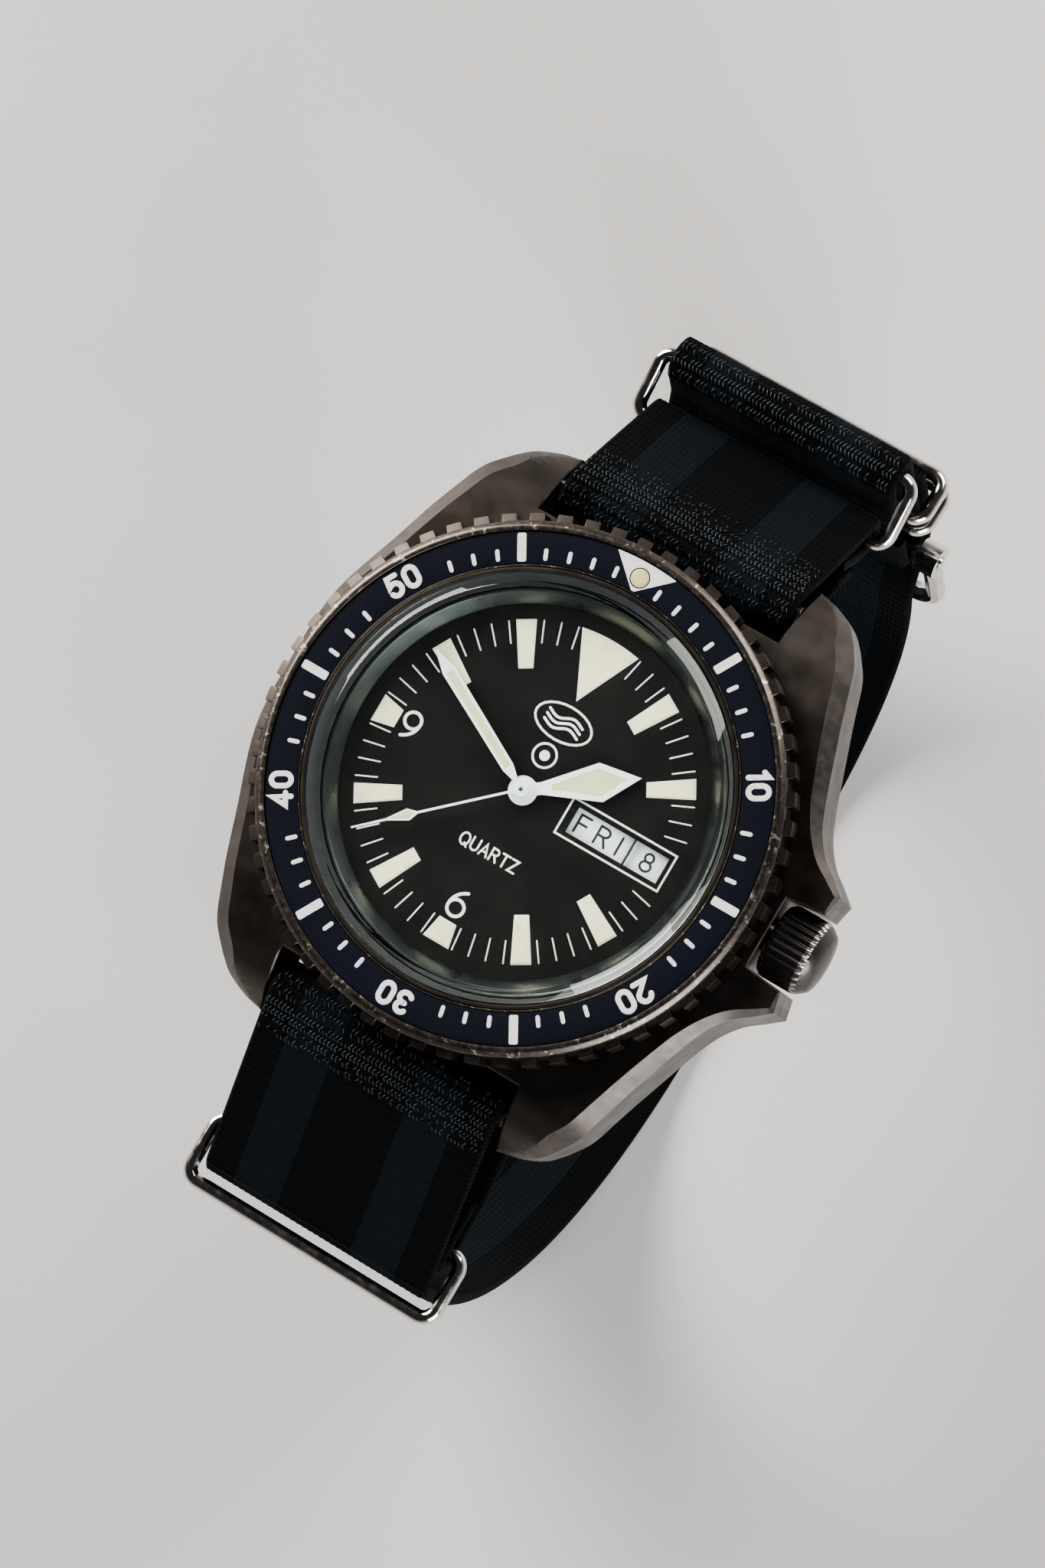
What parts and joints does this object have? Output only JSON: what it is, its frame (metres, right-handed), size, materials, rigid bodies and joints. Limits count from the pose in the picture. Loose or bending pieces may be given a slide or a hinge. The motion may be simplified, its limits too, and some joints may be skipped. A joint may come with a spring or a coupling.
{
  "type": "dive watch",
  "caption": "Dive watch: toothed rotating bezel, flat crystal, day-date dial, guarded crown, and a striped woven pass-through strap closed in a loop with steel rings and pin buckle.",
  "frame": {"origin": "where the dial's axis meets the flat underside of the closed strap loop, on which the watch stands", "axes": "+Z out of the dial, +Y to 12 o'clock, +X to the crown at 3 o'clock"},
  "size_m": [0.0462, 0.0765, 0.0595],
  "materials": {
    "satin_steel": "bead-blasted satin",
    "polished_steel": "polished",
    "brass": "plain",
    "strap_fabric": "woven nylon, two dark blue-grey stripes",
    "rubber": "matte",
    "crystal_glass": "clear, polished",
    "bezel_insert": "matte dark navy with white marks",
    "lume": "luminous paint",
    "dial_black": "matte black with pale marks",
    "rehaut_grey": "satin dark grey",
    "hand_white": "white with pale luminous fill",
    "disc_white": "matte",
    "holder_plastic": "matte",
    "circuit_green": "solder mask",
    "coil_copper": "enamelled copper wire"
  },
  "bodies": {
    "root": {"case": "satin_steel", "caseback": "satin_steel", "caseback_gasket": "rubber", "crown_tube": "polished_steel", "crystal": "crystal_glass", "crystal_gasket": "rubber", "click_spring": "polished_steel", "bezel_oring": "rubber", "rehaut_ring": "rehaut_grey", "dial": "dial_black", "movement_holder": "holder_plastic", "main_plate": "brass", "train_bridge": "polished_steel", "bridge_screw_1": "polished_steel", "bridge_screw_2": "polished_steel", "bridge_screw_3": "polished_steel", "stator": "polished_steel", "coil": "coil_copper", "circuit_board": "circuit_green", "quartz_can": "polished_steel", "battery": "polished_steel", "battery_clamp": "polished_steel", "strap_bar_12": "polished_steel", "strap_bar_6": "polished_steel", "long_strap": "strap_fabric", "under_strap": "strap_fabric", "buckle_strap": "strap_fabric", "ring_12": "polished_steel", "keeper_fixed": "polished_steel"},
    "bezel": {"bezel_ring": "satin_steel", "bezel_insert": "bezel_insert", "bezel_pip": "lume"},
    "crown_slide": {"crown_gasket": "rubber"},
    "crown": {"crown": "satin_steel", "stem": "polished_steel", "clutch_wheel": "brass"},
    "setting_lever": {"setting_lever": "polished_steel"},
    "seconds": {"seconds_wheel": "brass", "seconds_hand": "hand_white"},
    "minutes": {"centre_wheel": "brass", "minute_hand": "hand_white"},
    "hours": {"hour_wheel": "brass", "hour_hand": "hand_white"},
    "third_wheel": {"third_wheel": "brass"},
    "intermediate_wheel": {"intermediate_wheel": "brass"},
    "rotor": {"rotor": "polished_steel"},
    "minute_wheel": {"minute_wheel": "brass"},
    "date_wheel": {"date_wheel": "brass"},
    "date_ring": {"date_ring": "disc_white"},
    "day_disc": {"day_disc": "disc_white"},
    "ring_6": {"ring_6": "polished_steel"},
    "keeper_floating": {"keeper_floating": "polished_steel"},
    "buckle": {"buckle_frame": "polished_steel", "buckle_bar": "polished_steel"},
    "tongue": {"buckle_tongue": "polished_steel"}
  },
  "joints": [
    {"name": "bezel_turn", "type": "hinge", "parent": "root", "child": "bezel", "pos_m": [0, 0, 0.055], "axis": [0, 0, -1], "continuous": true},
    {"name": "crown_pull", "type": "slide", "parent": "root", "child": "crown_slide", "axis": [1, 0, 0], "range_m": [0, 0.001]},
    {"name": "crown_turn", "type": "hinge", "parent": "crown_slide", "child": "crown", "pos_m": [0.02, 0, 0.05275], "axis": [1, 0, 0], "continuous": true},
    {"name": "setting_lever_turn", "type": "hinge", "parent": "root", "child": "setting_lever", "pos_m": [0.01105, 0.003, 0.05355], "axis": [0, 0, 1], "range_deg": [0, 19.2]},
    {"name": "seconds_turn", "type": "hinge", "parent": "root", "child": "seconds", "pos_m": [0, 0, 0.055], "axis": [0, 0, -1], "continuous": true},
    {"name": "minutes_turn", "type": "hinge", "parent": "root", "child": "minutes", "pos_m": [0, 0, 0.055], "axis": [0, 0, -1], "continuous": true},
    {"name": "hours_turn", "type": "hinge", "parent": "root", "child": "hours", "pos_m": [0, 0, 0.055], "axis": [0, 0, -1], "continuous": true},
    {"name": "third_wheel_turn", "type": "hinge", "parent": "root", "child": "third_wheel", "pos_m": [0, -0.0034, 0.055], "axis": [0, 0, -1], "continuous": true},
    {"name": "intermediate_wheel_turn", "type": "hinge", "parent": "root", "child": "intermediate_wheel", "pos_m": [-0.00182, 0.00105, 0.055], "axis": [0, 0, -1], "continuous": true},
    {"name": "rotor_turn", "type": "hinge", "parent": "root", "child": "rotor", "pos_m": [-0.00338, 0.00195, 0.055], "axis": [0, 0, -1], "continuous": true},
    {"name": "minute_wheel_turn", "type": "hinge", "parent": "root", "child": "minute_wheel", "pos_m": [0, 0.0024, 0.055], "axis": [0, 0, -1], "continuous": true},
    {"name": "date_wheel_turn", "type": "hinge", "parent": "root", "child": "date_wheel", "pos_m": [-0.00472, -0.0033, 0.055], "axis": [0, 0, -1], "continuous": true},
    {"name": "date_ring_turn", "type": "hinge", "parent": "root", "child": "date_ring", "pos_m": [0, 0, 0.055], "axis": [0, 0, -1], "continuous": true},
    {"name": "day_disc_turn", "type": "hinge", "parent": "root", "child": "day_disc", "pos_m": [0, 0, 0.055], "axis": [0, 0, -1], "continuous": true},
    {"name": "ring_6_swivel", "type": "hinge", "parent": "root", "child": "ring_6", "pos_m": [0, -0.0325, 0.0429], "axis": [1, 0, 0], "range_deg": [-60, 25]},
    {"name": "keeper_slide", "type": "slide", "parent": "root", "child": "keeper_floating", "axis": [0, 0.1309, 0.9914], "range_m": [-0.0014, 0.0024]},
    {"name": "buckle_hinge", "type": "hinge", "parent": "root", "child": "buckle", "pos_m": [0, 0.0326, 0.026], "axis": [1, 0, 0], "range_deg": [0, 3]},
    {"name": "tongue_hinge", "type": "hinge", "parent": "buckle", "child": "tongue", "pos_m": [0, 0.0326, 0.026], "axis": [1, 0, 0], "range_deg": [0, 3]}
  ],
  "couplings": [
    {"joint": "setting_lever_turn", "follows": "crown_pull", "rad_per_m": 333.33},
    {"joint": "minutes_turn", "follows": "seconds_turn", "ratio": 0.016667},
    {"joint": "hours_turn", "follows": "seconds_turn", "ratio": 0.0013889},
    {"joint": "third_wheel_turn", "follows": "seconds_turn", "ratio": -0.13333},
    {"joint": "intermediate_wheel_turn", "follows": "seconds_turn", "ratio": -6},
    {"joint": "rotor_turn", "follows": "seconds_turn", "ratio": 30},
    {"joint": "minute_wheel_turn", "follows": "seconds_turn", "ratio": -0.0055556},
    {"joint": "date_wheel_turn", "follows": "seconds_turn", "ratio": -0.00069444}
  ]
}
